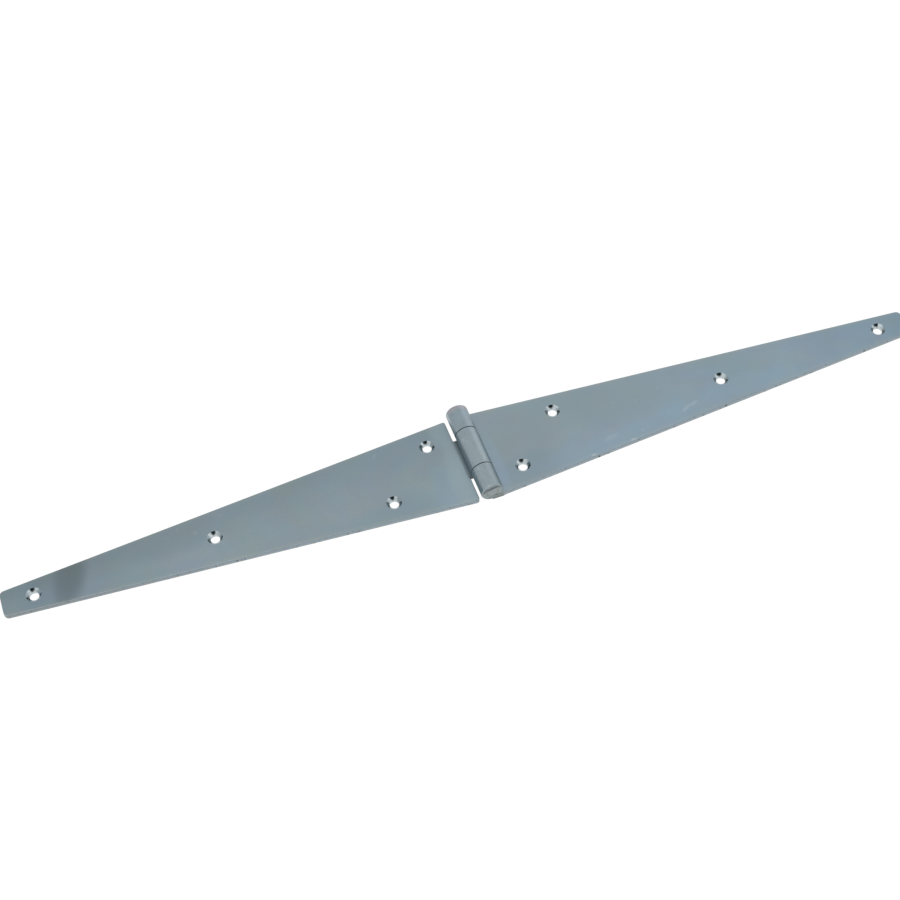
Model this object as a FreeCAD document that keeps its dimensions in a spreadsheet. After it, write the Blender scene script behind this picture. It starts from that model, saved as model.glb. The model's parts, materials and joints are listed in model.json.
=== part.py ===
import FreeCAD, Part
import os
from math import radians
import Sketcher

# Double strap hinge, in millimetres.
# X runs along the two straps, Y along the pin, Z up from the back faces.
# The straps lie flat on Z = 0 and the pin axis is above the origin.

os.makedirs("parts", exist_ok=True)
doc = FreeCAD.newDocument("strap_hinge")

# Driving dimensions

DRIVING_SIZES = [
    ("strap_length", 250.0, "pin axis to the end of a strap"),
    ("base_width", 53.4, "width of a strap beside the barrel"),
    ("near_overhang", 0.3, "near end of the barrel beyond the edges of the straps"),
    ("far_overhang", 1.7, "far end of the barrel beyond the edges of the straps"),
    ("tip_width", 14.7, "width of a strap at its end"),
    ("sheet_thickness", 3.0, "steel sheet"),
    ("near_notch_edge", 6.8, "pin axis to the start of the taper and the notch for the near knuckle"),
    ("far_notch_edge", 7.4, "pin axis to the inside of the notch for the far knuckle"),
    ("middle_notch_edge", 6.7, "pin axis to the inside of the notch for the middle knuckle"),
    ("middle_knuckle", 24.2, "length of the middle knuckle"),
    ("knuckle_gap", 0.3, "end clearance between two knuckles"),
    ("pin_diameter", 6.0, "pin, tight in the outer knuckles"),
    ("running_clearance", 0.05, "radial clearance of the middle knuckle on the pin"),
    ("roll_end_gap", 0.3, "sheet end of a knuckle to the face of its own strap"),
    ("pin_end_chamfer", 0.2, "edge break on both pin ends"),
    ("barrel_end_round", 1.0, "rounding of the rolled sheet at both ends of the barrel"),
    ("knuckle_end_round", 0.25, "rounding of the rolled sheet where two knuckles meet"),
    ("edge_round", 0.3, "rounding of a strap's upper edges"),
    ("tip_corner", 2.6, "corner radius at the end of a strap"),
    ("outer_notch_corner", 0.7, "corner radius inside the notches for the outer knuckles"),
    ("middle_notch_corner", 0.4, "corner radius inside the notch for the middle knuckle"),
    ("base_corner", 1.3, "corner radius of the left leaf beside the outer knuckles"),
    ("hole_diameter", 5.0, "screw holes"),
    ("sink_diameter", 8.0, "countersinks at the surface"),
    ("sink_angle", 90.0, "full angle of the countersinks"),
    ("first_hole_out", 21.3, "pin axis to the first hole"),
    ("first_hole_side", 14.5, "first hole from the centre line"),
    ("second_hole_out", 48.5, "pin axis to the second hole"),
    ("second_hole_side", 12.7, "second hole from the centre line, on the other side"),
    ("third_hole_out", 140.2, "pin axis to the third hole"),
    ("tip_hole_inset", 16.3, "fourth hole from the end of the strap"),
]

# Sizes worked out from the driving ones

SLOPE_TO_ROLL_END = "=asin((pin_diameter - roll_end_gap) / 2 / roll_radius)"
WORKED_OUT_SIZES = [
    ("roll_radius", "=pin_diameter / 2 + sheet_thickness", "outside of a knuckle, height of the axis"),
    ("roll_end_slope", SLOPE_TO_ROLL_END, "middle of the gap at the sheet's end, below the axis"),
    ("barrel_length", "=base_width + near_overhang + far_overhang", "all knuckles together, and the pin"),
    ("strap_line", "=(near_overhang - far_overhang) / 2", "middle of the barrel to the straps' centre line"),
    ("notch_width", "=middle_knuckle + 2 * knuckle_gap", "notch for the middle knuckle"),
    ("fourth_hole_out", "=strap_length - tip_hole_inset", "pin axis to the fourth hole"),
]

sheet = doc.addObject("Spreadsheet::Sheet", "Sizes")
for row, (alias, value, meaning) in enumerate(DRIVING_SIZES + WORKED_OUT_SIZES, start=1):
    sheet.set(f"A{row}", alias)
    sheet.set(f"B{row}", str(value))
    sheet.setAlias(f"B{row}", alias)
    sheet.set(f"C{row}", meaning)
doc.recompute()


def size(alias):
    """Current value of a named size."""
    value = sheet.get(alias)
    return float(getattr(value, "Value", value))


def new_body(label):
    body = doc.addObject("PartDesign::Body", label)
    body.Label = label
    return body


def new_sketch(body, name, plane_role):
    """Empty sketch on one of the body's origin planes."""
    sketch = body.newObject("Sketcher::SketchObject", name)
    plane = [feature for feature in body.Origin.OriginFeatures if feature.Role == plane_role][0]
    sketch.AttachmentSupport = [(plane, "")]
    sketch.MapMode = "FlatFace"
    return sketch


def place(sketch, geometry, point, name, x_size, y_size):
    """Tie one sketch point to the sketch origin by two named sizes."""
    for kind, suffix, expression in (("DistanceX", "_x", x_size), ("DistanceY", "_y", y_size)):
        here = sketch.getPoint(geometry, point)
        value = here.x if kind == "DistanceX" else here.y
        index = sketch.addConstraint(Sketcher.Constraint(kind, -1, 1, geometry, point, value))
        sketch.renameConstraint(index, name + suffix)
        sketch.setExpression("Constraints." + name + suffix, expression)


def polygon(sketch, corners):
    """Closed outline; corners are (name, x, y, x expression, y expression)."""
    count = len(corners)
    lines = []
    for this, following in zip(corners, corners[1:] + corners[:1]):
        start = FreeCAD.Vector(this[1], this[2], 0)
        end = FreeCAD.Vector(following[1], following[2], 0)
        lines.append(sketch.addGeometry(Part.LineSegment(start, end), False))
    for index in range(count):
        following = lines[(index + 1) % count]
        sketch.addConstraint(Sketcher.Constraint("Coincident", lines[index], 2, following, 1))
    for line, (name, x, y, x_size, y_size) in zip(lines, corners):
        place(sketch, line, 1, name, x_size, y_size)


def circle(sketch, name, x, y, radius, x_size, y_size, radius_size):
    centre = FreeCAD.Vector(x, y, 0)
    geometry = sketch.addGeometry(Part.Circle(centre, FreeCAD.Vector(0, 0, 1), radius), False)
    place(sketch, geometry, 3, name, x_size, y_size)
    index = sketch.addConstraint(Sketcher.Constraint("Radius", geometry, radius))
    sketch.renameConstraint(index, name + "_radius")
    sketch.setExpression("Constraints." + name + "_radius", radius_size)


def across(body, kind, name, sketch, length_size):
    """Pad or pocket, half to each side of the sketch."""
    feature = body.newObject("PartDesign::" + kind, name)
    feature.Profile = sketch
    feature.SideType = "Symmetric"
    feature.setExpression("Length", length_size)
    doc.recompute()
    return feature


def upright_edges(shape, corners):
    """Names of the straight edges along Z that stand at the given corners."""
    names = []
    for number, edge in enumerate(shape.Edges, start=1):
        ends = [vertex.Point for vertex in edge.Vertexes]
        if len(ends) != 2 or abs(ends[0].z - ends[1].z) < 0.5 * size("sheet_thickness"):
            continue
        for x, y in corners:
            if all(abs(end.x - x) < 0.01 and abs(end.y - y) < 0.01 for end in ends):
                names.append(f"Edge{number}")
    return names


def round_corners(body, name, corners, radius_size):
    before = body.Tip
    edges = upright_edges(before.Shape, corners)
    if len(edges) != len(corners):
        raise RuntimeError(f"{name}: {len(edges)} edges found for {len(corners)} corners")
    feature = body.newObject("PartDesign::Fillet", name)
    feature.Base = (before, edges)
    feature.setExpression("Radius", radius_size)
    doc.recompute()
    return feature


def round_upper_edges(body):
    """Round the upper edges of a flat strap, all but those at the pin axis."""
    before = body.Tip
    top = size("sheet_thickness")
    edges = []
    for number, edge in enumerate(before.Shape.Edges, start=1):
        ends = [vertex.Point for vertex in edge.Vertexes]
        on_top = all(abs(end.z - top) < 0.001 for end in ends)
        at_base = all(abs(end.x) < 0.001 for end in ends)
        if on_top and not at_base:
            edges.append(f"Edge{number}")
    feature = body.newObject("PartDesign::Fillet", body.Label + "_upper_edges")
    feature.Base = (before, edges)
    feature.setExpression("Radius", "Sizes.edge_round")
    doc.recompute()


def plain_strap(label, side, overhang):
    """Flat tapered strap from the pin axis outwards.

    side is -1 for the strap on -X and +1 for the strap on +X.
    overhang says whether the strap widens under the barrel to the barrel's full length.
    """
    body = new_body(label)
    sign = "-" if side < 0 else ""
    outline = new_sketch(body, label + "_outline", "XY_Plane")
    line = size("strap_line")
    half_base = size("base_width") / 2
    half_tip = size("tip_width") / 2
    shoulder = side * size("near_notch_edge")
    reach = side * size("strap_length")
    shoulder_size = sign + "Sizes.near_notch_edge"
    reach_size = sign + "Sizes.strap_length"
    far_base_size = "Sizes.strap_line + Sizes.base_width / 2"
    near_base_size = "Sizes.strap_line - Sizes.base_width / 2"
    corners = [
        ("shoulder_far", shoulder, line + half_base, shoulder_size, far_base_size),
        ("tip_far", reach, line + half_tip, reach_size, "Sizes.strap_line + Sizes.tip_width / 2"),
        ("tip_near", reach, line - half_tip, reach_size, "Sizes.strap_line - Sizes.tip_width / 2"),
        ("shoulder_near", shoulder, line - half_base, shoulder_size, near_base_size),
    ]
    if overhang:
        half_barrel = size("barrel_length") / 2
        root = side * size("roll_radius")
        corners += [
            ("root_near", root, -half_barrel, sign + "Sizes.roll_radius", "-Sizes.barrel_length / 2"),
            ("base_near", 0, -half_barrel, "0", "-Sizes.barrel_length / 2"),
            ("base_far", 0, half_barrel, "0", "Sizes.barrel_length / 2"),
            ("root_far", root, half_barrel, sign + "Sizes.roll_radius", "Sizes.barrel_length / 2"),
        ]
    else:
        corners += [
            ("base_near", 0, line - half_base, "0", near_base_size),
            ("base_far", 0, line + half_base, "0", far_base_size),
        ]
    polygon(outline, corners)
    strap = body.newObject("PartDesign::Pad", label + "_strap")
    strap.Profile = outline
    strap.setExpression("Length", "Sizes.sheet_thickness")
    doc.recompute()
    tip_ends = [(reach, line + half_tip), (reach, line - half_tip)]
    round_corners(body, label + "_tip_corners", tip_ends, "Sizes.tip_corner")
    return body


def cut_notches(body, side, notches):
    """Notches in the strap's base that leave room for the other leaf's knuckles.

    Each notch is (name, inner edge's named size, low y, high y, low y expression, high y expression).
    """
    sign = "-" if side < 0 else ""
    beyond = "" if side < 0 else "-"
    sketch = new_sketch(body, body.Label + "_notch_outline", "XY_Plane")
    outer = -side * size("roll_radius")
    for name, edge, low, high, low_size, high_size in notches:
        inner = side * size(edge)
        polygon(sketch, [
            (name + "_a", inner, low, sign + "Sizes." + edge, low_size),
            (name + "_b", inner, high, sign + "Sizes." + edge, high_size),
            (name + "_c", outer, high, beyond + "Sizes.roll_radius", high_size),
            (name + "_d", outer, low, beyond + "Sizes.roll_radius", low_size),
        ])
    across(body, "Pocket", body.Label + "_notches", sketch, "3 * Sizes.sheet_thickness")


def roll_knuckles(body, side, bore_radius, knuckles):
    """Rolled knuckles on the strap's base, open where the sheet ends above the strap.

    Each knuckle is (name, far y, far y expression, length expression).
    """
    sign = "-" if side < 0 else ""
    radius = size("roll_radius")
    for name, far_end, far_end_size, length_size in knuckles:
        roll = new_sketch(body, body.Label + "_" + name + "_circle", "XZ_Plane")
        roll.setExpression("AttachmentOffset.Base.z", f"-({far_end_size})")
        circle(roll, "roll", 0, radius, radius, "0", "Sizes.roll_radius", "Sizes.roll_radius")
        knuckle = body.newObject("PartDesign::Pad", body.Label + "_" + name)
        knuckle.Profile = roll
        knuckle.setExpression("Length", length_size)
        doc.recompute()

    bore = new_sketch(body, body.Label + "_bore_circle", "XZ_Plane")
    circle(bore, "bore", 0, radius, size("pin_diameter") / 2, "0", "Sizes.roll_radius", bore_radius)
    across(body, "Pocket", body.Label + "_bore", bore, "2 * Sizes.barrel_length")

    slit = new_sketch(body, body.Label + "_slit_outline", "XZ_Plane")
    top = size("sheet_thickness")
    above = top + size("roll_end_gap")
    reach = side * radius
    above_size = "Sizes.sheet_thickness + Sizes.roll_end_gap"
    polygon(slit, [
        ("a", 0, top, "0", "Sizes.sheet_thickness"),
        ("b", reach, top, sign + "Sizes.roll_radius", "Sizes.sheet_thickness"),
        ("c", reach, above, sign + "Sizes.roll_radius", above_size),
        ("d", 0, above, "0", above_size),
    ])
    across(body, "Pocket", body.Label + "_slit", slit, "2 * Sizes.barrel_length")


def round_barrel_ends(body, side):
    """Quarter rounds around the barrel's two ends, from the underside to the sheet's end."""
    sketch = new_sketch(body, body.Label + "_end_rounds", "YZ_Plane")
    half = size("barrel_length") / 2
    cut = size("barrel_end_round")
    for name, way in (("far", 1), ("near", -1)):
        sign = "" if way > 0 else "-"
        end = FreeCAD.Vector(way * half, 0, 0)
        inner = FreeCAD.Vector(way * (half - cut), 0, 0)
        wall = FreeCAD.Vector(way * half, cut, 0)
        centre = FreeCAD.Vector(way * (half - cut), cut, 0)
        bottom = sketch.addGeometry(Part.LineSegment(inner, end), False)
        upright = sketch.addGeometry(Part.LineSegment(end, wall), False)
        turn = Part.Circle(centre, FreeCAD.Vector(0, 0, 1), cut)
        start_angle, end_angle = (-90, 0) if way > 0 else (180, 270)
        arc = sketch.addGeometry(Part.ArcOfCircle(turn, radians(start_angle), radians(end_angle)), False)
        arc_at_wall, arc_at_bottom = (2, 1) if way > 0 else (1, 2)
        sketch.addConstraint(Sketcher.Constraint("Coincident", bottom, 2, upright, 1))
        sketch.addConstraint(Sketcher.Constraint("Coincident", upright, 2, arc, arc_at_wall))
        sketch.addConstraint(Sketcher.Constraint("Coincident", bottom, 1, arc, arc_at_bottom))
        place(sketch, bottom, 2, name + "_end", sign + "Sizes.barrel_length / 2", "0")
        place(sketch, arc, 3, name + "_centre", sign + "(Sizes.barrel_length / 2 - Sizes.barrel_end_round)",
              "Sizes.barrel_end_round")
        sketch.addConstraint(Sketcher.Constraint("Horizontal", bottom))
        sketch.addConstraint(Sketcher.Constraint("Vertical", arc, arc_at_bottom, arc, 3))
        sketch.addConstraint(Sketcher.Constraint("Horizontal", arc, arc_at_wall, arc, 3))
    axis_height = size("roll_radius")
    axis_start = FreeCAD.Vector(0, axis_height, 0)
    axis_end = FreeCAD.Vector(half, axis_height, 0)
    axis = sketch.addGeometry(Part.LineSegment(axis_start, axis_end), True)
    place(sketch, axis, 1, "axis_start", "0", "Sizes.roll_radius")
    place(sketch, axis, 2, "axis_end", "Sizes.barrel_length / 2", "Sizes.roll_radius")
    groove = body.newObject("PartDesign::Groove", body.Label + "_barrel_ends")
    groove.Profile = sketch
    groove.ReferenceAxis = (sketch, ["Axis0"])
    groove.Reversed = side < 0
    groove.setExpression("Angle", "270 deg + Sizes.roll_end_slope")
    doc.recompute()


def round_knuckle_ends(body, ends):
    """Small fillets on the rims of a knuckle that face the next one."""
    radius = size("roll_radius")
    before = body.Tip
    rims = []
    for number, edge in enumerate(before.Shape.Edges, start=1):
        curve = edge.Curve
        if not isinstance(curve, Part.Circle) or abs(curve.Radius - radius) > 0.001 or edge.Length < radius:
            continue
        if any(abs(curve.Center.y - end) < 0.001 for end in ends):
            rims.append(f"Edge{number}")
    if len(rims) < len(ends):
        raise RuntimeError(f"{body.Label}: {len(rims)} rims found for {len(ends)} knuckle ends")
    feature = body.newObject("PartDesign::Fillet", body.Label + "_knuckle_ends")
    feature.Base = (before, rims)
    feature.setExpression("Radius", "Sizes.knuckle_end_round")
    doc.recompute()


def drill_holes(body, side):
    """Four countersunk screw holes, the first two staggered about the centre line."""
    sketch = new_sketch(body, body.Label + "_hole_centres", "XY_Plane")
    sketch.setExpression("AttachmentOffset.Base.z", "Sizes.sheet_thickness")
    sign, other = ("-", "+") if side < 0 else ("+", "-")
    line = size("strap_line")
    radius = size("hole_diameter") / 2
    first_y = line - side * size("first_hole_side")
    second_y = line + side * size("second_hole_side")
    centres = [
        ("first", "first_hole_out", first_y, other + " Sizes.first_hole_side"),
        ("second", "second_hole_out", second_y, sign + " Sizes.second_hole_side"),
        ("third", "third_hole_out", line, ""),
        ("fourth", "fourth_hole_out", line, ""),
    ]
    for name, out, y, offset in centres:
        x_size = f"{side} * Sizes.{out}"
        y_size = "Sizes.strap_line " + offset
        circle(sketch, name, side * size(out), y, radius, x_size, y_size, "Sizes.hole_diameter / 2")
    doc.recompute()
    holes = body.newObject("PartDesign::Hole", body.Label + "_screw_holes")
    holes.Profile = sketch
    holes.DepthType = "ThroughAll"
    holes.HoleCutType = "Countersink"
    holes.HoleCutCustomValues = True
    holes.setExpression("Diameter", "Sizes.hole_diameter")
    holes.setExpression("HoleCutDiameter", "Sizes.sink_diameter")
    holes.setExpression("HoleCutCountersinkAngle", "Sizes.sink_angle")
    doc.recompute()


# Left leaf: keeps the middle knuckle, which turns on the pin

left = plain_strap("left_leaf", -1, False)
half_knuckle = size("middle_knuckle") / 2
half_knuckle_size = "Sizes.middle_knuckle / 2"
beyond = size("barrel_length")
cut_notches(left, -1, [
    ("far", "far_notch_edge", half_knuckle, beyond, half_knuckle_size, "Sizes.barrel_length"),
    ("near", "near_notch_edge", -beyond, -half_knuckle, "-Sizes.barrel_length", "-" + half_knuckle_size),
])
far_x = -size("far_notch_edge")
near_x = -size("near_notch_edge")
half_base = size("base_width") / 2
half_width_lost = (half_base - size("tip_width") / 2) / (size("strap_length") + near_x) * (near_x - far_x)
far_y = size("strap_line") + half_base - half_width_lost
near_y = size("strap_line") - half_base
round_corners(left, "left_leaf_notch_corners", [(far_x, half_knuckle), (near_x, -half_knuckle)],
              "Sizes.outer_notch_corner")
round_corners(left, "left_leaf_base_corners", [(far_x, far_y), (near_x, near_y)], "Sizes.base_corner")
round_upper_edges(left)
roll_knuckles(left, -1, "Sizes.pin_diameter / 2 + Sizes.running_clearance", [
    ("middle_knuckle", half_knuckle, "Sizes.middle_knuckle / 2", "Sizes.middle_knuckle"),
])
round_knuckle_ends(left, [half_knuckle, -half_knuckle])
drill_holes(left, -1)

# Right leaf: keeps the two outer knuckles, which hold the pin

right = plain_strap("right_leaf", 1, True)
half_barrel = size("barrel_length") / 2
half_notch = size("notch_width") / 2
half_notch_size = "Sizes.notch_width / 2"
outer_length = "(Sizes.barrel_length - Sizes.notch_width) / 2"
cut_notches(right, 1, [
    ("middle", "middle_notch_edge", -half_notch, half_notch, "-" + half_notch_size, half_notch_size),
])
edge_x = size("middle_notch_edge")
round_corners(right, "right_leaf_notch_corners", [(edge_x, half_notch), (edge_x, -half_notch)],
              "Sizes.middle_notch_corner")
round_upper_edges(right)
roll_knuckles(right, 1, "Sizes.pin_diameter / 2", [
    ("far_knuckle", half_barrel, "Sizes.barrel_length / 2", outer_length),
    ("near_knuckle", -half_notch, "-" + half_notch_size, outer_length),
])
round_barrel_ends(right, 1)
round_knuckle_ends(right, [half_notch, -half_notch])
drill_holes(right, 1)

# Hinge pin, flush with the ends of the barrel

pin = new_body("hinge_pin")
pin_circle = new_sketch(pin, "hinge_pin_circle", "XZ_Plane")
circle(pin_circle, "pin", 0, 0, size("pin_diameter") / 2, "0", "0", "Sizes.pin_diameter / 2")
pin_shaft = across(pin, "Pad", "hinge_pin_shaft", pin_circle, "Sizes.barrel_length")
rims = [f"Edge{number}" for number, edge in enumerate(pin_shaft.Shape.Edges, start=1) if edge.isClosed()]
pin_ends = pin.newObject("PartDesign::Chamfer", "hinge_pin_ends")
pin_ends.Base = (pin_shaft, rims)
pin_ends.setExpression("Size", "Sizes.pin_end_chamfer")
pin.setExpression("Placement.Base.z", "Sizes.roll_radius")
doc.recompute()

# Every feature is sound, and every pad adds and every pocket or hole removes material

for item in doc.Objects:
    if "Invalid" in item.State or "Error" in item.State:
        raise RuntimeError(f"{item.Name}: {item.State}")
    shape = getattr(item, "Shape", None)
    if item.isDerivedFrom("PartDesign::Feature") and (shape is None or shape.isNull() or not shape.isValid()):
        raise RuntimeError(f"{item.Name}: shape is not valid")
    base = getattr(item, "BaseFeature", None)
    if base is not None and item.TypeId in ("PartDesign::Pocket", "PartDesign::Groove", "PartDesign::Hole"):
        if shape.Volume > base.Shape.Volume - 1:
            raise RuntimeError(f"{item.Name}: nothing was cut")

for body in (left, right, pin):
    shape = body.Shape
    if shape.isNull() or not shape.isValid() or len(shape.Solids) != 1:
        raise RuntimeError(f"{body.Label}: not one valid solid")
    shape.exportStep(f"parts/{body.Label}.step")
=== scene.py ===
import json
import math

import bpy
from mathutils import Matrix, Vector


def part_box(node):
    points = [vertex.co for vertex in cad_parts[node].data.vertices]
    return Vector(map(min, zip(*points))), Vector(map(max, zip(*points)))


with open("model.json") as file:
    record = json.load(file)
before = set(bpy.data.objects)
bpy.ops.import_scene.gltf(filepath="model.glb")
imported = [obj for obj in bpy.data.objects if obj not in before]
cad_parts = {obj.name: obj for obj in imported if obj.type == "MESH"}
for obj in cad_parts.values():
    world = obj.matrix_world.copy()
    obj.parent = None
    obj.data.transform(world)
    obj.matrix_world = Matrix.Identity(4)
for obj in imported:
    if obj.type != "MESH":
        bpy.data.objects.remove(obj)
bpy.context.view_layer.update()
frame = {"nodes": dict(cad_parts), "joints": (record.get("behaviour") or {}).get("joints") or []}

MM = 0.001

# Sizes of the hinge that the materials follow, in metres; the tables below are in millimetres

pin_low, pin_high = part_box("hinge_pin")
PIN_HEIGHT = frame["joints"][0]["pos_m"][2]
SHEET = pin_low.z
BARREL_END = pin_high.y
BARREL_REACH = PIN_HEIGHT + 0.4 * MM
KNUCKLE_JOINT = 12.1 * MM
STRAP_LINE = -0.7 * MM
HALF_WIDTH_AT_PIN = 27.3 * MM
TAPER = 0.0796
SINK_RADIUS = 4.0 * MM

# Screw holes of the right leaf, and of the left one by half a turn: distance out, across

HOLES = [(21.3, -14.5), (48.5, 12.7), (140.2, 0.0), (233.7, 0.0)]

# Noises: scale, detail, roughness and, for some, how much finer it is along x, y and z

CLOUDS = (16.0, 3.0, 0.5)
BLOTCHES = (90.0, 3.0, 0.6)
GRAIN = (1100.0, 2.0, 0.6)
GREEN_CAST = (44.0, 2.0, 0.5)
BLUE_CAST = (71.0, 2.0, 0.5, (1.0, 1.4, 1.0))
ROLLING = (1.0, 2.0, 0.6, (45.0, 900.0, 900.0))
SCUFFS = (260.0, 4.0, 0.7, (1.0, 0.55, 1.0))
STREAKS = (1.0, 3.0, 0.65, (700.0, 240.0, 700.0))
TEAR = (1.0, 3.0, 0.65, (1600.0, 1600.0, 260.0))
NICKS = (1.0, 1.0, 0.5, (420.0, 420.0, 420.0))
SPECKS = (1.0, 1.0, 0.5, (640.0, 640.0, 640.0))
RAGGED = (420.0, 2.0, 0.6)
CHATTER = (700.0, 2.0, 0.6)

# Tints that the lighter and darker patches and the scuffs share

DARK_GREY_ZINC = (0.112, 0.145, 0.152)
DULL_ZINC = (0.200, 0.252, 0.270)
GREY_ZINC = (0.238, 0.298, 0.320)
DULL_BLUE = (0.204, 0.276, 0.326)
CLEAR_BLUE = (0.245, 0.345, 0.430)
PALE_ZINC = (0.285, 0.362, 0.398)
BRIGHT_SCUFF = (0.415, 0.485, 0.535)

# Lighter and darker patches on the straps: side, distance out, across, lean, half sizes, tint, strength

TONE_PATCHES = [
    (-1, 214.5, 4.0, 0.27, (10.5, 22.0), DARK_GREY_ZINC, 0.62),
    (-1, 223.0, 0.0, 0.27, (20.0, 45.0), DARK_GREY_ZINC, 0.20),
    (-1, 163.0, 8.0, 0.0, (36.0, 14.0), DULL_ZINC, 0.50),
    (-1, 34.0, 22.0, 0.0, (30.0, 20.0), DULL_BLUE, 0.38),
    (-1, 48.0, -20.0, 0.0, (30.0, 11.0), DULL_BLUE, 0.42),
    (-1, 21.0, -17.0, 0.0, (9.0, 22.0), CLEAR_BLUE, 0.30),
    (-1, 9.0, -14.0, 0.0, (11.0, 34.0), PALE_ZINC, 0.75),
    (-1, 12.0, 20.0, 0.0, (8.0, 14.0), PALE_ZINC, 0.45),
    (1, 28.0, -2.0, 0.0, (26.0, 26.0), GREY_ZINC, 0.60),
    (1, 84.0, 8.0, 0.0, (48.0, 20.0), GREY_ZINC, 0.60),
    (1, 25.0, -18.5, 0.0, (26.0, 14.0), DULL_BLUE, 0.52),
    (1, 9.0, -8.0, 0.0, (5.0, 30.0), CLEAR_BLUE, 0.35),
    (1, 66.0, -20.0, 0.0, (44.0, 12.0), CLEAR_BLUE, 0.45),
    (1, 112.0, -14.0, 0.0, (30.0, 10.0), CLEAR_BLUE, 0.32),
    (1, 152.0, -8.0, 0.0, (34.0, 9.0), CLEAR_BLUE, 0.38),
    (1, 115.0, -11.2, 1.2, (2.2, 2.4), BRIGHT_SCUFF, 0.28),
    (1, 120.0, -9.8, 1.2, (2.2, 2.0), BRIGHT_SCUFF, 0.28),
    (1, 71.0, -14.6, 0.9, (5.0, 2.2), BRIGHT_SCUFF, 0.18),
    (1, 58.0, -21.8, 0.0, (1.8, 0.9), BRIGHT_SCUFF, 0.55),
    (1, 81.0, -20.2, 0.0, (2.2, 0.9), BRIGHT_SCUFF, 0.55),
]

# Short light scratches on the barrel: side, x, y, half sizes, strength

SCRATCHES = [
    (-1, -3.6, 5.6, (0.35, 1.3), 0.55),
    (-1, -2.6, 3.8, (0.30, 0.9), 0.45),
    (-1, 1.2, -6.5, (0.25, 2.0), 0.25),
    (1, -2.9, -14.6, (0.30, 1.4), 0.70),
    (1, -1.4, -15.6, (0.25, 0.8), 0.45),
]
SCRATCH_LEAN = 0.15
SCRATCH_TONE = (0.460, 0.500, 0.510)


def metres(*millimetres):
    return tuple(length * MM for length in millimetres)


# Node helpers

class Tree:
    """Short calls for building the nodes of one material or world."""

    def __init__(self, owner):
        owner.use_nodes = True
        self.nodes = owner.node_tree.nodes
        self.links = owner.node_tree.links
        self.nodes.clear()

    def node(self, kind, **settings):
        made = self.nodes.new(kind)
        for name, value in settings.items():
            setattr(made, name, value)
        return made

    def link(self, source, target):
        self.links.new(source, target)

    def feed(self, socket, value):
        if isinstance(value, (int, float)):
            socket.default_value = value
        elif isinstance(value, tuple):
            socket.default_value = value if len(value) == len(socket.default_value) else value + (1.0,)
        else:
            self.link(value, socket)

    def math(self, operation, *values, clamp=False):
        made = self.node("ShaderNodeMath", operation=operation, use_clamp=clamp)
        for socket, value in zip(made.inputs, values):
            self.feed(socket, value)
        return made.outputs[0]

    def product(self, first, *others):
        for other in others:
            first = self.math("MULTIPLY", first, other)
        return first

    def total(self, first, *others):
        for other in others:
            first = self.math("ADD", first, other)
        return first

    def difference(self, first, second):
        return self.math("SUBTRACT", first, second)

    def absolute(self, value):
        return self.math("ABSOLUTE", value)

    def outside(self, mask):
        return self.difference(1.0, mask)

    def ramp(self, value, start, end, at_start=0.0, at_end=1.0):
        """A smooth step from at_start, up to where the value is start, to at_end, from where it is end."""
        made = self.node("ShaderNodeMapRange", interpolation_type="SMOOTHSTEP")
        for name, number in zip(("Value", "From Min", "From Max", "To Min", "To Max"),
                                (value, start, end, at_start, at_end)):
            self.feed(made.inputs[name], number)
        return made.outputs[0]

    def mix(self, factor, first, second, blend="MIX"):
        made = self.node("ShaderNodeMix", data_type="RGBA", blend_type=blend)
        factor_socket, first_socket, second_socket = made.inputs[0], made.inputs[6], made.inputs[7]
        self.feed(factor_socket, factor)
        self.feed(first_socket, first)
        self.feed(second_socket, second)
        return made.outputs[2]

    def tinted(self, colour, tint):
        return self.mix(1.0, colour, tint, "MULTIPLY")

    def patch(self, x, y, centre, lean, reach):
        """1 at a centre, fading to 0 at an ellipse's edge; lean slants it, in x for each y."""
        rise = self.difference(y, centre[1])
        aside = self.difference(self.difference(x, centre[0]), self.product(rise, lean))
        aside = self.math("DIVIDE", aside, reach[0])
        along = self.math("DIVIDE", rise, reach[1])
        return self.ramp(self.total(self.product(aside, aside), self.product(along, along)), 1.0, 0.0)

    def noise(self, place, scale, detail, roughness, finer=None):
        if finer:
            mapping = self.node("ShaderNodeMapping")
            self.link(place, mapping.inputs["Vector"])
            mapping.inputs["Scale"].default_value = finer
            place = mapping.outputs[0]
        made = self.node("ShaderNodeTexNoise")
        self.link(place, made.inputs["Vector"])
        made.inputs["Scale"].default_value = scale
        made.inputs["Detail"].default_value = detail
        made.inputs["Roughness"].default_value = roughness
        return made.outputs[0]


# Places, slants and shared masks; each pair of limits is where a mask is 0 and where it is 1

LEFT_TIP_FADE = (-100.0 * MM, -250.0 * MM)
ROLLED_UP_HEIGHTS = (SHEET + 0.3 * MM, SHEET + 2.0 * MM)
UPRIGHT_SLANTS = (0.55, 0.25)
END_SLANTS = (0.90, 0.98)


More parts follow.
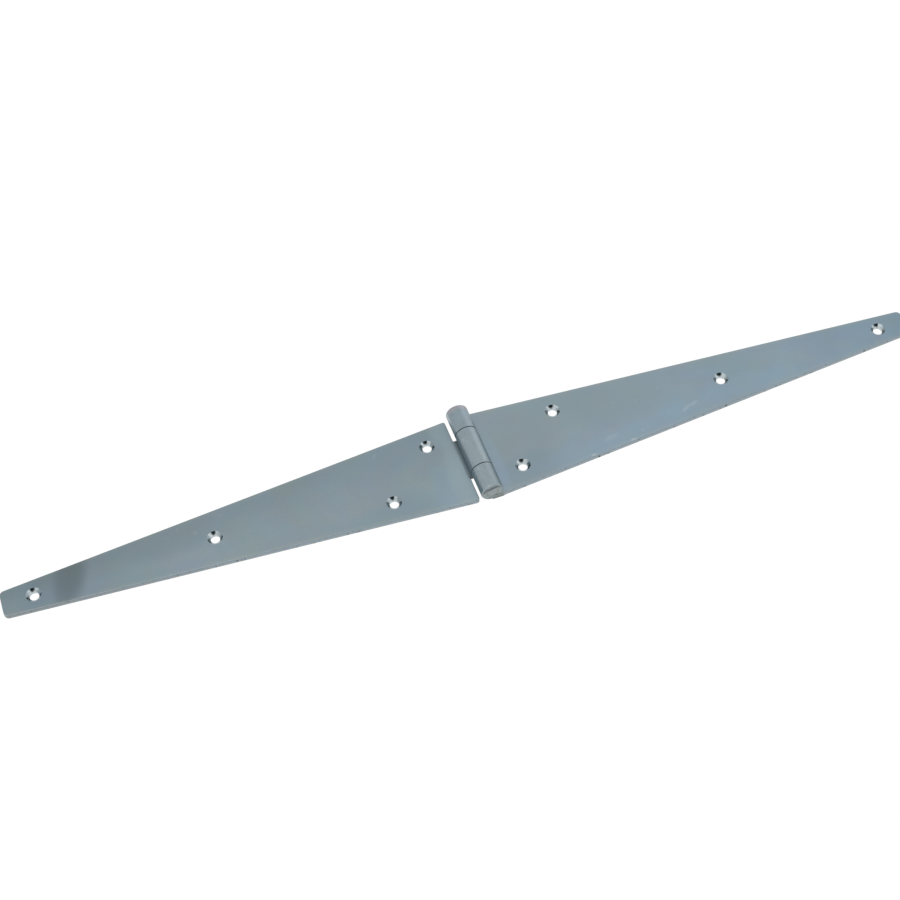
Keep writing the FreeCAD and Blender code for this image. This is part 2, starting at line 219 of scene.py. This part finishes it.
class Point:
    """A point of the surface: its place and facing, the noises there, and the masks that sections share.

    A slant is the size of one part of the normal, such as 1 in z on a level face.
    """

    def __init__(self, tree):
        coordinates = tree.node("ShaderNodeTexCoord")
        split_place = tree.node("ShaderNodeSeparateXYZ")
        split_normal = tree.node("ShaderNodeSeparateXYZ")
        tree.link(coordinates.outputs["Object"], split_place.inputs[0])
        tree.link(coordinates.outputs["Normal"], split_normal.inputs[0])
        self.tree = tree
        self.noises = {}
        self.place = coordinates.outputs["Object"]
        self.x, self.y, self.z = split_place.outputs
        self.out, self.along = tree.absolute(self.x), tree.absolute(self.y)
        self.across = tree.difference(self.y, STRAP_LINE)
        self.facing_x, self.facing_y, facing_z = split_normal.outputs
        self.slant_y, self.slant_z = tree.absolute(self.facing_y), tree.absolute(facing_z)

        self.left_tip = tree.ramp(self.x, *LEFT_TIP_FADE)
        self.on_barrel = tree.product(tree.math("LESS_THAN", self.out, BARREL_REACH),
                                      tree.ramp(self.z, *ROLLED_UP_HEIGHTS))
        self.beyond = tree.math("GREATER_THAN", self.out, BARREL_REACH)
        self.ends = tree.ramp(self.slant_y, *END_SLANTS)
        upright = tree.product(self.beyond, tree.ramp(self.slant_z, *UPRIGHT_SLANTS))
        self.sheared = tree.math("MAXIMUM", upright, self.ends, clamp=True)

    def noise(self, kind):
        if kind not in self.noises:
            self.noises[kind] = self.tree.noise(self.place, *kind)
        return self.noises[kind]

    def mottled(self, colour, rows):
        for kind, levels, tone in rows:
            colour = self.tree.mix(self.tree.ramp(self.noise(kind), *levels), colour, tone)
        return colour


# Rolled faces: grey zinc, bluer along the right leaf and darker at both tips

LEFT_TONE = (0.242, 0.303, 0.330)
RIGHT_TONE = (0.234, 0.306, 0.354)
RIGHT_TIP_TONE = (0.182, 0.250, 0.305)
LEFT_TIP_TONE = (0.197, 0.253, 0.283)
RIGHT_TONE_FADE = (20.0 * MM, 120.0 * MM)
RIGHT_TIP_FADE = (160.0 * MM, 280.0 * MM)
CLOUD_LEVELS = (0.38, 0.62)
CLOUD_LIFT = 1.06
CLOUD_BLUE = 0.012
FAR_SIDE_SHADE = (0.83, 0.845, 0.838)
FAR_SIDE_SHADE_SHARES = (-0.6, 1.0)
SCUFF_LEVELS = (0.60, 0.74)
SCUFFED_CLOUDS = (0.50, 0.62, 0.0, 0.22)
SCUFF_TONE = (0.420, 0.470, 0.490)
EDGE_FADE = (2.8 * MM, 0.2 * MM, 0.0, 0.8)
EDGE_TINT = (1.10, 1.05, 0.98)

# Casts of colour: noise, its levels, and the two tints between which it runs

CASTS = [
    (GREEN_CAST, (0.36, 0.64), (0.985, 1.015, 0.990), (1.012, 0.988, 1.015)),
    (BLUE_CAST, (0.38, 0.66), (0.980, 1.000, 1.025), (1.025, 1.000, 0.975)),
]

# Mottles: noise, its levels with the least and most of the tone, and the tone

MOTTLES = [
    (BLOTCHES, (0.35, 0.70, 0.0, 0.16), (0.205, 0.262, 0.290)),
    (GRAIN, (0.30, 0.75, 0.0, 0.08), (0.330, 0.390, 0.420)),
    (ROLLING, (0.40, 0.70, 0.0, 0.02), (0.180, 0.225, 0.250)),
]


def face_tone(tree, point):
    tones = []
    for lift, blue_lift in ((1.0, 0.0), (CLOUD_LIFT, CLOUD_BLUE)):
        left, right, right_tip, left_tip = (
            (red * lift, green * lift, blue * lift + blue_lift)
            for red, green, blue in (LEFT_TONE, RIGHT_TONE, RIGHT_TIP_TONE, LEFT_TIP_TONE))
        tone = tree.mix(tree.ramp(point.x, *RIGHT_TONE_FADE), left, right)
        tone = tree.mix(tree.ramp(point.x, *RIGHT_TIP_FADE), tone, right_tip)
        tones.append(tree.mix(point.left_tip, tone, left_tip))
    return tree.mix(tree.ramp(point.noise(CLOUDS), *CLOUD_LEVELS), *tones)


def rolled_face(tree, point, side):
    colour = face_tone(tree, point)
    half_width = tree.math("MULTIPLY_ADD", point.out, -TAPER, HALF_WIDTH_AT_PIN)
    if side < 0:
        # Painted shade: the left leaf darker towards its far side
        far_side_shade = tree.ramp(tree.math("DIVIDE", point.across, half_width), *FAR_SIDE_SHADE_SHARES)
        colour = tree.mix(far_side_shade, colour, FAR_SIDE_SHADE, "MULTIPLY")
    for kind, levels, first_tint, second_tint in CASTS:
        cast = tree.mix(tree.ramp(point.noise(kind), *levels), first_tint, second_tint)
        colour = tree.tinted(colour, cast)
    colour = point.mottled(colour, MOTTLES)

    # Patches that make the straps lighter or darker in places
    for patch_side, out, across, lean, reach, tint, strength in TONE_PATCHES:
        if patch_side == side:
            tone_patch = tree.patch(point.x, point.across, metres(side * out, across), lean, metres(*reach))
            colour = tree.mix(tree.product(tone_patch, strength), colour, tint)
    scuffs = tree.product(tree.ramp(point.noise(SCUFFS), *SCUFF_LEVELS),
                          tree.ramp(point.noise(CLOUDS), *SCUFFED_CLOUDS))
    colour = tree.mix(scuffs, colour, SCUFF_TONE)

    inward = tree.difference(half_width, tree.absolute(point.across))
    return tree.mix(tree.ramp(inward, *EDGE_FADE), colour, tree.tinted(colour, EDGE_TINT))


# Rolled barrel, a little lighter and greyer than the flat sheet

BARREL_COVER = 0.85
BARREL_NEAR_TONE = (0.272, 0.331, 0.356)
BARREL_FAR_TONE = (0.246, 0.305, 0.340)
BARREL_TONE_FADE = (0.0, 20.0 * MM)
NEAR_FLANK_SHADE_ALONG = (-12.5 * MM, -14.0 * MM)
NEAR_FLANK_SHADE_OUT = (0.0, 3.0 * MM)
NEAR_FLANK_SHADE_TONE = (0.232, 0.286, 0.306)
STREAK_LEVELS = (0.50, 0.68, 0.0, 0.45)
STREAK_TONE = (0.205, 0.256, 0.274)
FAR_BAND_FADE = (23.8 * MM, 25.6 * MM, 0.0, 0.85)
FAR_BAND_TONE = (0.312, 0.318, 0.338)
GLEAM_OUT = (-5.2 * MM, -5.6 * MM)
GLEAM_ALONG = (13.0 * MM, 15.0 * MM, 0.0, 0.6)
GLEAM_HEIGHTS = (PIN_HEIGHT, PIN_HEIGHT + 1.0 * MM)
GLEAM_TONE = (0.480, 0.550, 0.580)


def barrel(tree, point, side, colour):
    tone = tree.mix(tree.ramp(point.y, *BARREL_TONE_FADE), BARREL_NEAR_TONE, BARREL_FAR_TONE)
    # Painted shade: the near knuckle's right flank is darker, in place of its highlight
    near_flank_shade = tree.product(tree.ramp(point.y, *NEAR_FLANK_SHADE_ALONG), tree.ramp(point.x, *NEAR_FLANK_SHADE_OUT))
    tone = tree.mix(near_flank_shade, tone, NEAR_FLANK_SHADE_TONE)
    colour = tree.mix(tree.product(point.on_barrel, BARREL_COVER), colour, tone)
    streaks = tree.product(point.on_barrel, tree.ramp(point.noise(STREAKS), *STREAK_LEVELS))
    colour = tree.mix(streaks, colour, STREAK_TONE)
    far_band = tree.product(point.on_barrel, tree.ramp(point.y, *FAR_BAND_FADE))
    colour = tree.mix(far_band, colour, FAR_BAND_TONE)
    gleam = tree.product(tree.ramp(point.x, *GLEAM_OUT), tree.ramp(point.y, *GLEAM_ALONG),
                         tree.ramp(point.z, *GLEAM_HEIGHTS))
    colour = tree.mix(gleam, colour, GLEAM_TONE)
    for scratch_side, x, y, reach, strength in SCRATCHES:
        if scratch_side == side:
            scratch = tree.patch(point.x, point.y, metres(x, y), SCRATCH_LEAN, metres(*reach))
            colour = tree.mix(tree.product(scratch, point.on_barrel, strength), colour, SCRATCH_TONE)
    return colour


# Sheared faces: the upright faces of the sheet beyond the barrel, and the ends of the knuckles

SHEARED_UPPER_TONE = (0.275, 0.344, 0.400)
SHEARED_LOWER_TONE = (0.364, 0.412, 0.432)
TIP_UPPER_TONE = (0.262, 0.303, 0.325)
TIP_LOWER_TONE = (0.320, 0.350, 0.362)
SHEARED_HEIGHTS = (0.4 * MM, 2.6 * MM)
TEAR_LEVELS = (0.3, 0.7)
TEAR_TINT = (0.90, 0.91, 0.92)

# Dark spots: noise, its levels with the least and most of the tone, and the tone

DARK_SPOTS = [
    (NICKS, (0.70, 0.76), (0.060, 0.065, 0.068)),
    (SPECKS, (0.66, 0.72, 0.0, 0.7), (0.090, 0.100, 0.104)),
]


def sheared_faces(tree, point, colour):
    upper = tree.mix(point.left_tip, SHEARED_UPPER_TONE, TIP_UPPER_TONE)
    lower = tree.mix(point.left_tip, SHEARED_LOWER_TONE, TIP_LOWER_TONE)
    torn = tree.mix(tree.ramp(point.z, *SHEARED_HEIGHTS), lower, upper)
    torn = tree.mix(tree.ramp(point.noise(TEAR), *TEAR_LEVELS), tree.tinted(torn, TEAR_TINT), torn)
    return tree.mix(point.sheared, colour, point.mottled(torn, DARK_SPOTS))


# Ends of the barrel: painted shade below, and a ragged arc and a blot of painted shadow above the near end of
# the pin

END_DEPTH = 1.2 * MM
END_LEVELS = (0.35, 0.65)
END_TONES = ((0.295, 0.335, 0.345), (0.320, 0.352, 0.358))
LOW_SHADE_HEIGHTS = (-2.4 * MM, -5.0 * MM, 0.0, 0.70)
LOW_SHADE_TONE = (0.160, 0.182, 0.178)
RAGGED_REACH = 2.4 * MM
ARC_CENTRE = (1.0 * MM, -2.4 * MM)
ARC_INSIDE = (5.6 * MM, 6.3 * MM)
ARC_OUTSIDE = (7.9 * MM, 7.0 * MM)
ARC_HEIGHTS = (0.2 * MM, 1.6 * MM, 0.0, 0.7)
ARC_SHADOW_TONE = (0.070, 0.095, 0.108)
BLOT_CENTRE = (0.3 * MM, 3.6 * MM)
BLOT_REACH = (2.0 * MM, 2.3 * MM)
BLOT_LEAN = 1.29
BLOT_RAGGED_SHARE = 0.4
BLOT_SHADOW_TONE = (0.110, 0.142, 0.154)


def barrel_ends(tree, point, colour):
    """Heights here are measured from the pin's axis."""
    at_end = tree.math("GREATER_THAN", point.along, BARREL_END - END_DEPTH)
    on_end = tree.product(point.ends, at_end, tree.outside(point.beyond))
    near_end = tree.product(on_end, tree.math("LESS_THAN", point.y, 0.0))
    height = tree.difference(point.z, PIN_HEIGHT)
    colour = tree.mix(on_end, colour, tree.mix(tree.ramp(point.noise(BLOTCHES), *END_LEVELS), *END_TONES))
    # Painted shade: the lower part of each end is darker
    colour = tree.mix(tree.product(on_end, tree.ramp(height, *LOW_SHADE_HEIGHTS)), colour, LOW_SHADE_TONE)

    ragged = tree.product(tree.difference(point.noise(RAGGED), 0.5), RAGGED_REACH)
    arc_x = tree.difference(point.x, ARC_CENTRE[0])
    arc_z = tree.difference(height, ARC_CENTRE[1])
    radius = tree.math("SQRT", tree.total(tree.product(arc_x, arc_x), tree.product(arc_z, arc_z)))
    radius = tree.total(radius, ragged)
    # Painted shadow: a ragged dark arc above the near end of the pin
    arc_shadow = tree.product(tree.ramp(radius, *ARC_INSIDE), tree.ramp(radius, *ARC_OUTSIDE), near_end,
                       tree.ramp(height, *ARC_HEIGHTS))
    colour = tree.mix(arc_shadow, colour, ARC_SHADOW_TONE)
    # Painted shadow: a dark blot above the near end of the pin
    blot_height = tree.total(height, tree.product(ragged, BLOT_RAGGED_SHARE))
    blot_shadow = tree.patch(point.x, blot_height, BLOT_CENTRE, BLOT_LEAN, BLOT_REACH)
    return tree.mix(tree.product(blot_shadow, near_end), colour, BLOT_SHADOW_TONE)


# Joints between the knuckles and corners of the notches, darkened with painted shade

JOINT_ALONG = KNUCKLE_JOINT + 1.9 * MM
JOINT_OUT = BARREL_REACH + 2.0 * MM
JOINT_SLANTS = (0.75, 0.55)
LIP_SLANTS = (0.35, 0.70, 0.0, 0.9)
JOINT_SHADE_TONE = (0.085, 0.100, 0.104)


def joint_shade_mask(tree, point):
    in_joint = tree.product(tree.math("LESS_THAN", point.along, JOINT_ALONG),
                            tree.math("LESS_THAN", point.out, JOINT_OUT))
    steep = tree.product(in_joint, tree.ramp(point.slant_z, *JOINT_SLANTS),
                         tree.math("MAXIMUM", point.ends, point.beyond))
    lip = tree.product(in_joint, point.on_barrel, tree.ramp(point.slant_y, *LIP_SLANTS))
    return tree.math("MAXIMUM", steep, lip)


# Shade at the root of the middle knuckle

ROOT_OUTER = (-8.6 * MM, -6.8 * MM)
ROOT_INNER = (-4.2 * MM, -4.8 * MM)
ROOT_BELOW = (SHEET - 0.6 * MM, SHEET - 0.2 * MM)
ROOT_ABOVE = (SHEET + 0.6 * MM, SHEET + 0.2 * MM)
ROOT_ALONG = (KNUCKLE_JOINT + 1.5 * MM, KNUCKLE_JOINT + 0.5 * MM, 0.0, 0.6)
ROOT_TONE = (0.100, 0.125, 0.130)


def root_shade(tree, point, colour):
    root = tree.product(tree.ramp(point.x, *ROOT_OUTER), tree.ramp(point.x, *ROOT_INNER),
                        tree.ramp(point.z, *ROOT_BELOW), tree.ramp(point.z, *ROOT_ABOVE),
                        tree.ramp(point.along, *ROOT_ALONG))
    return tree.mix(root, colour, ROOT_TONE)


# Rounded edges, rubbed plating with a painted highlight: most at the left tip and the barrel's far end

STRAP_RIM_LOW = (0.25, 0.60)
STRAP_RIM_HIGH = (0.98, 0.80)
STRAP_RIM_FADE = (-185.0 * MM, -205.0 * MM)
STRAP_RIM_CLOUDS = (0.45, 0.65, 0.15, 0.55)
KNUCKLE_RIM_LOW = (0.20, 0.45)
KNUCKLE_RIM_HIGH = (0.98, 0.88)
KNUCKLE_RIM_FADE = (BARREL_END - 1.6 * MM, BARREL_END - 1.1 * MM, 0.12, 0.7)
RUB_AND_HIGHLIGHT_LEVELS = (0.3, 0.6, 0.6, 1.0)
RUB_AND_HIGHLIGHT_COVER = 0.8
RUB_AND_HIGHLIGHT_TONE = (0.440, 0.475, 0.500)


def rubbed_and_highlit_rims(tree, point, joint_shade):
    away_from_tip = tree.ramp(point.noise(CLOUDS), *STRAP_RIM_CLOUDS)
    strap_rim = tree.product(tree.ramp(point.slant_z, *STRAP_RIM_LOW),
                             tree.ramp(point.slant_z, *STRAP_RIM_HIGH), point.beyond,
                             tree.ramp(point.x, *STRAP_RIM_FADE, away_from_tip, 1.0))
    knuckle_rim = tree.product(tree.ramp(point.slant_y, *KNUCKLE_RIM_LOW),
                               tree.ramp(point.slant_y, *KNUCKLE_RIM_HIGH),
                               tree.ramp(point.y, *KNUCKLE_RIM_FADE), point.on_barrel)
    rim = tree.math("MAXIMUM", strap_rim, knuckle_rim)
    return tree.product(rim, tree.ramp(point.noise(BLOTCHES), *RUB_AND_HIGHLIGHT_LEVELS), tree.outside(joint_shade))


# Countersinks, cut clean: painted lighter on the flank that faces the near side, with painted shade at its
# top

SINK_EDGE = (SINK_RADIUS + 0.15 * MM, SINK_RADIUS - 0.05 * MM)
SINK_SLANTS = (0.95, 0.85)
NEAR_SHARE = -0.95
LEFT_SHARE = 0.35
CHATTER_DEPTH = 0.9
SINK_LIGHT_LEVELS = (0.28, 0.62)
SINK_LIT_AND_SHADED_TONES = ((0.215, 0.262, 0.285), (0.470, 0.530, 0.550))
SINK_SHADE_NARROWING = 0.9
SINK_SHADE_CHATTER = 0.35
SINK_SHADE_LEVELS = (0.34, 0.50)
SINK_SHADE_HEIGHTS = (1.7 * MM, 2.2 * MM)
SINK_SHADE_TONE = (0.040, 0.054, 0.060)


def countersink_mask(tree, point, side):
    level_place = tree.node("ShaderNodeCombineXYZ")
    tree.link(point.x, level_place.inputs[0])
    tree.link(point.y, level_place.inputs[1])
    mask = 0.0
    for out, across in HOLES:
        gap = tree.node("ShaderNodeVectorMath", operation="DISTANCE")
        tree.link(level_place.outputs[0], gap.inputs[0])
        gap.inputs[1].default_value = (side * out * MM, side * across * MM + STRAP_LINE, 0.0)
        mask = tree.math("MAXIMUM", mask, tree.ramp(gap.outputs["Value"], *SINK_EDGE))
    return mask


def sink_light_and_shade(tree, point, side):
    towards_near = tree.product(point.facing_y, NEAR_SHARE)
    if side > 0:
        towards_near = tree.difference(towards_near, tree.product(point.facing_x, LEFT_SHARE))
    chatter = tree.product(tree.difference(point.noise(CHATTER), 0.5), CHATTER_DEPTH)
    # Painted light: the flank that faces the near side is lighter, broken up by chatter marks
    tone = tree.mix(tree.ramp(tree.total(towards_near, chatter), *SINK_LIGHT_LEVELS), *SINK_LIT_AND_SHADED_TONES)
    # Painted shade: a dark patch at the top of that flank
    sink_shade = tree.difference(towards_near, tree.product(tree.absolute(point.facing_x), SINK_SHADE_NARROWING))
    sink_shade = tree.ramp(tree.total(sink_shade, tree.product(chatter, SINK_SHADE_CHATTER)), *SINK_SHADE_LEVELS)
    return tree.mix(tree.product(sink_shade, tree.ramp(point.z, *SINK_SHADE_HEIGHTS)), tone, SINK_SHADE_TONE)


# Roughness and bump: what each noise or mask adds

ROUGH_BLOTCHES = (0.25, 0.75, 0.34, 0.42)
ROUGH_GRAIN = (0.3, 0.7, -0.02, 0.02)
ROUGH_SHEARED = 0.10
ROUGH_RUBBED = 0.30
ROUGH_SUNK = -0.27
BUMP_GRAIN = 0.30
BUMP_BLOTCHES = 0.5
BUMP_TEAR = 1.2
BUMP_STRENGTH = 0.10
BUMP_DISTANCE = 0.4 * MM


def roughness(tree, point, rub_and_highlight, sunk):
    parts = [tree.ramp(point.noise(BLOTCHES), *ROUGH_BLOTCHES), tree.ramp(point.noise(GRAIN), *ROUGH_GRAIN),
             tree.product(point.sheared, ROUGH_SHEARED), tree.product(rub_and_highlight, ROUGH_RUBBED)]
    if sunk is not None:
        parts.append(tree.product(sunk, ROUGH_SUNK))
    return tree.total(*parts)


def bumped_normal(tree, point):
    height = tree.total(tree.product(point.noise(GRAIN), BUMP_GRAIN),
                        tree.product(point.noise(BLOTCHES), BUMP_BLOTCHES),
                        tree.product(point.noise(TEAR), point.sheared, BUMP_TEAR))
    bump = tree.node("ShaderNodeBump")
    tree.link(height, bump.inputs["Height"])
    bump.inputs["Strength"].default_value = BUMP_STRENGTH
    bump.inputs["Distance"].default_value = BUMP_DISTANCE
    return bump.outputs[0]


def zinc_material(name, side):
    """Zinc-plated steel for one piece: side is -1 for the left leaf, 1 for the right, 0 for the pin."""
    material = bpy.data.materials.new(name)
    tree = Tree(material)
    point = Point(tree)
    colour = rolled_face(tree, point, side)
    colour = barrel(tree, point, side, colour)
    colour = sheared_faces(tree, point, colour)
    colour = barrel_ends(tree, point, colour)
    joint_shade = joint_shade_mask(tree, point)
    # Painted shade in the joints between the knuckles and in the corners of the notches
    colour = tree.mix(joint_shade, colour, JOINT_SHADE_TONE)
    if side < 0:
        colour = root_shade(tree, point, colour)
    rub_and_highlight = rubbed_and_highlit_rims(tree, point, joint_shade)
    sunk = None
    if side:
        sunk = countersink_mask(tree, point, side)
        rub_and_highlight = tree.product(rub_and_highlight, tree.outside(sunk))
        sunk = tree.product(sunk, tree.ramp(point.slant_z, *SINK_SLANTS))
        colour = tree.mix(sunk, colour, sink_light_and_shade(tree, point, side))
    # Rounded rims lighter: rubbed plating, with a painted highlight on top
    colour = tree.mix(tree.product(rub_and_highlight, RUB_AND_HIGHLIGHT_COVER), colour, RUB_AND_HIGHLIGHT_TONE)

    shader = tree.node("ShaderNodeBsdfPrincipled")
    shader.inputs["Metallic"].default_value = 1.0
    tree.link(colour, shader.inputs["Base Color"])
    tree.link(roughness(tree, point, rub_and_highlight, sunk), shader.inputs["Roughness"])
    tree.link(bumped_normal(tree, point), shader.inputs["Normal"])
    output = tree.node("ShaderNodeOutputMaterial")
    tree.link(shader.outputs[0], output.inputs["Surface"])
    return material


def paint(node, material):
    mesh = frame["nodes"][node].data
    if not mesh.materials:
        mesh.materials.append(material)
    for index in range(len(mesh.materials)):
        mesh.materials[index] = material


paint("left_leaf", zinc_material("zinc_left", -1))
paint("right_leaf", zinc_material("zinc_right", 1))
paint("hinge_pin", zinc_material("zinc_pin", 0))


# Floor, low enough for the straps to swing through their whole range above it

FLOOR_HEIGHT = -0.256
FLOOR_HALF = 4.0
FLOOR_TONE = (0.86, 0.86, 0.86, 1.0)
WHITE = (1.0, 1.0, 1.0, 1.0)
FLOOR_GLOW = 1.04
GLOW_SHARE = 0.85


def floor_material():
    """Near white to the camera and in the metal, and clear from below."""
    material = bpy.data.materials.new("floor_white")
    tree = Tree(material)
    shade = tree.node("ShaderNodeBsdfDiffuse")
    shade.inputs["Color"].default_value = FLOOR_TONE
    glow = tree.node("ShaderNodeEmission")
    glow.inputs["Color"].default_value = WHITE
    glow.inputs["Strength"].default_value = FLOOR_GLOW
    path = tree.node("ShaderNodeLightPath")
    seen = tree.math("MAXIMUM", path.outputs["Is Camera Ray"], path.outputs["Is Glossy Ray"])
    above = tree.node("ShaderNodeMixShader")
    tree.link(tree.product(seen, GLOW_SHARE), above.inputs[0])
    tree.link(shade.outputs[0], above.inputs[1])
    tree.link(glow.outputs[0], above.inputs[2])
    faced_side = tree.node("ShaderNodeNewGeometry")
    clear = tree.node("ShaderNodeBsdfTransparent")
    one_sided = tree.node("ShaderNodeMixShader")
    tree.link(faced_side.outputs["Backfacing"], one_sided.inputs[0])
    tree.link(above.outputs[0], one_sided.inputs[1])
    tree.link(clear.outputs[0], one_sided.inputs[2])
    output = tree.node("ShaderNodeOutputMaterial")
    tree.link(one_sided.outputs[0], output.inputs["Surface"])
    return material


def make_floor():
    corners = [(-1, -1), (1, -1), (1, 1), (-1, 1)]
    mesh = bpy.data.meshes.new("floor")
    mesh.from_pydata([(a * FLOOR_HALF, b * FLOOR_HALF, FLOOR_HEIGHT) for a, b in corners], [], [(0, 1, 2, 3)])
    floor = bpy.data.objects.new("floor", mesh)
    bpy.context.collection.objects.link(floor)
    mesh.materials.append(floor_material())


make_floor()


# Studio: a pale surround with a dark card above the front, and two soft lights that face the hinge

DARK_CARD = (0.05, -0.82, 0.57)
DARK_INNER = math.radians(10.0)
DARK_OUTER = math.radians(22.0)
DARK_LEVEL = 0.25
RIGHT_SIDE_LEVELS = (0.35, 0.85, 1.0, 1.20)


def make_surround():
    """Plain white to the camera; for the light and the metal, dark at the card and brighter to the right."""
    world = bpy.data.worlds.new("studio")
    bpy.context.scene.world = world
    tree = Tree(world)
    way = tree.node("ShaderNodeTexCoord")
    split_way = tree.node("ShaderNodeSeparateXYZ")
    tree.link(way.outputs["Generated"], split_way.inputs[0])
    to_card = tree.node("ShaderNodeVectorMath", operation="DOT_PRODUCT")
    tree.link(way.outputs["Generated"], to_card.inputs[0])
    to_card.inputs[1].default_value = Vector(DARK_CARD).normalized()
    lit = tree.ramp(to_card.outputs["Value"], math.cos(DARK_OUTER), math.cos(DARK_INNER), 1.0, DARK_LEVEL)
    level = tree.product(lit, tree.ramp(split_way.outputs[0], *RIGHT_SIDE_LEVELS))
    path = tree.node("ShaderNodeLightPath")
    strength = tree.node("ShaderNodeMix", data_type="FLOAT")
    tree.link(path.outputs["Is Camera Ray"], strength.inputs[0])
    tree.link(level, strength.inputs[2])
    strength.inputs[3].default_value = 1.0
    background = tree.node("ShaderNodeBackground")
    background.inputs["Color"].default_value = WHITE
    tree.link(strength.outputs[0], background.inputs["Strength"])
    output = tree.node("ShaderNodeOutputWorld")
    tree.link(background.outputs[0], output.inputs["Surface"])


def soft_light(name, place, width, height, watts):
    data = bpy.data.lights.new(name, "AREA")
    data.shape = "RECTANGLE"
    data.size = width
    data.size_y = height
    data.energy = watts
    lamp = bpy.data.objects.new(name, data)
    bpy.context.collection.objects.link(lamp)
    lamp.location = place
    lamp.rotation_mode = "QUATERNION"
    lamp.rotation_quaternion = (-Vector(place)).to_track_quat("-Z", "Y")


make_surround()
soft_light("key", (-0.6, -0.6, 2.0), width=1.6, height=1.6, watts=9.0)
soft_light("back", (1.5, 1.3, 0.9), width=1.2, height=0.9, watts=1.0)


# Camera at the photograph's viewing angle

AZIMUTH = math.radians(-16.593)
ELEVATION = math.radians(54.072)
ROLL = math.radians(-3.805)
LENS = 67.496
SENSOR_WIDTH = 36.0
CLIP_NEAR = 0.05
CLIP_FAR = 50.0
SHIFT_RIGHT = -12.406 * MM
SHIFT_UP = 5.10 * MM
DISTANCE = 880.92 * MM


def make_camera():
    back = Vector((math.sin(AZIMUTH) * math.cos(ELEVATION), -math.cos(AZIMUTH) * math.cos(ELEVATION),
                   math.sin(ELEVATION)))
    right = Vector((math.cos(AZIMUTH), math.sin(AZIMUTH), 0.0))
    up = back.cross(right)
    place = right * SHIFT_RIGHT + up * SHIFT_UP + back * DISTANCE
    rolled_right = right * math.cos(ROLL) + up * math.sin(ROLL)
    rolled_up = up * math.cos(ROLL) - right * math.sin(ROLL)
    data = bpy.data.cameras.new("camera")
    data.sensor_width = SENSOR_WIDTH
    data.lens = LENS
    data.clip_start = CLIP_NEAR
    data.clip_end = CLIP_FAR
    camera = bpy.data.objects.new("camera", data)
    bpy.context.collection.objects.link(camera)
    turn = Matrix((rolled_right, rolled_up, back)).transposed().to_4x4()
    camera.matrix_world = Matrix.Translation(place) @ turn
    bpy.context.scene.camera = camera


make_camera()
bpy.context.scene.view_settings.view_transform = "Standard"
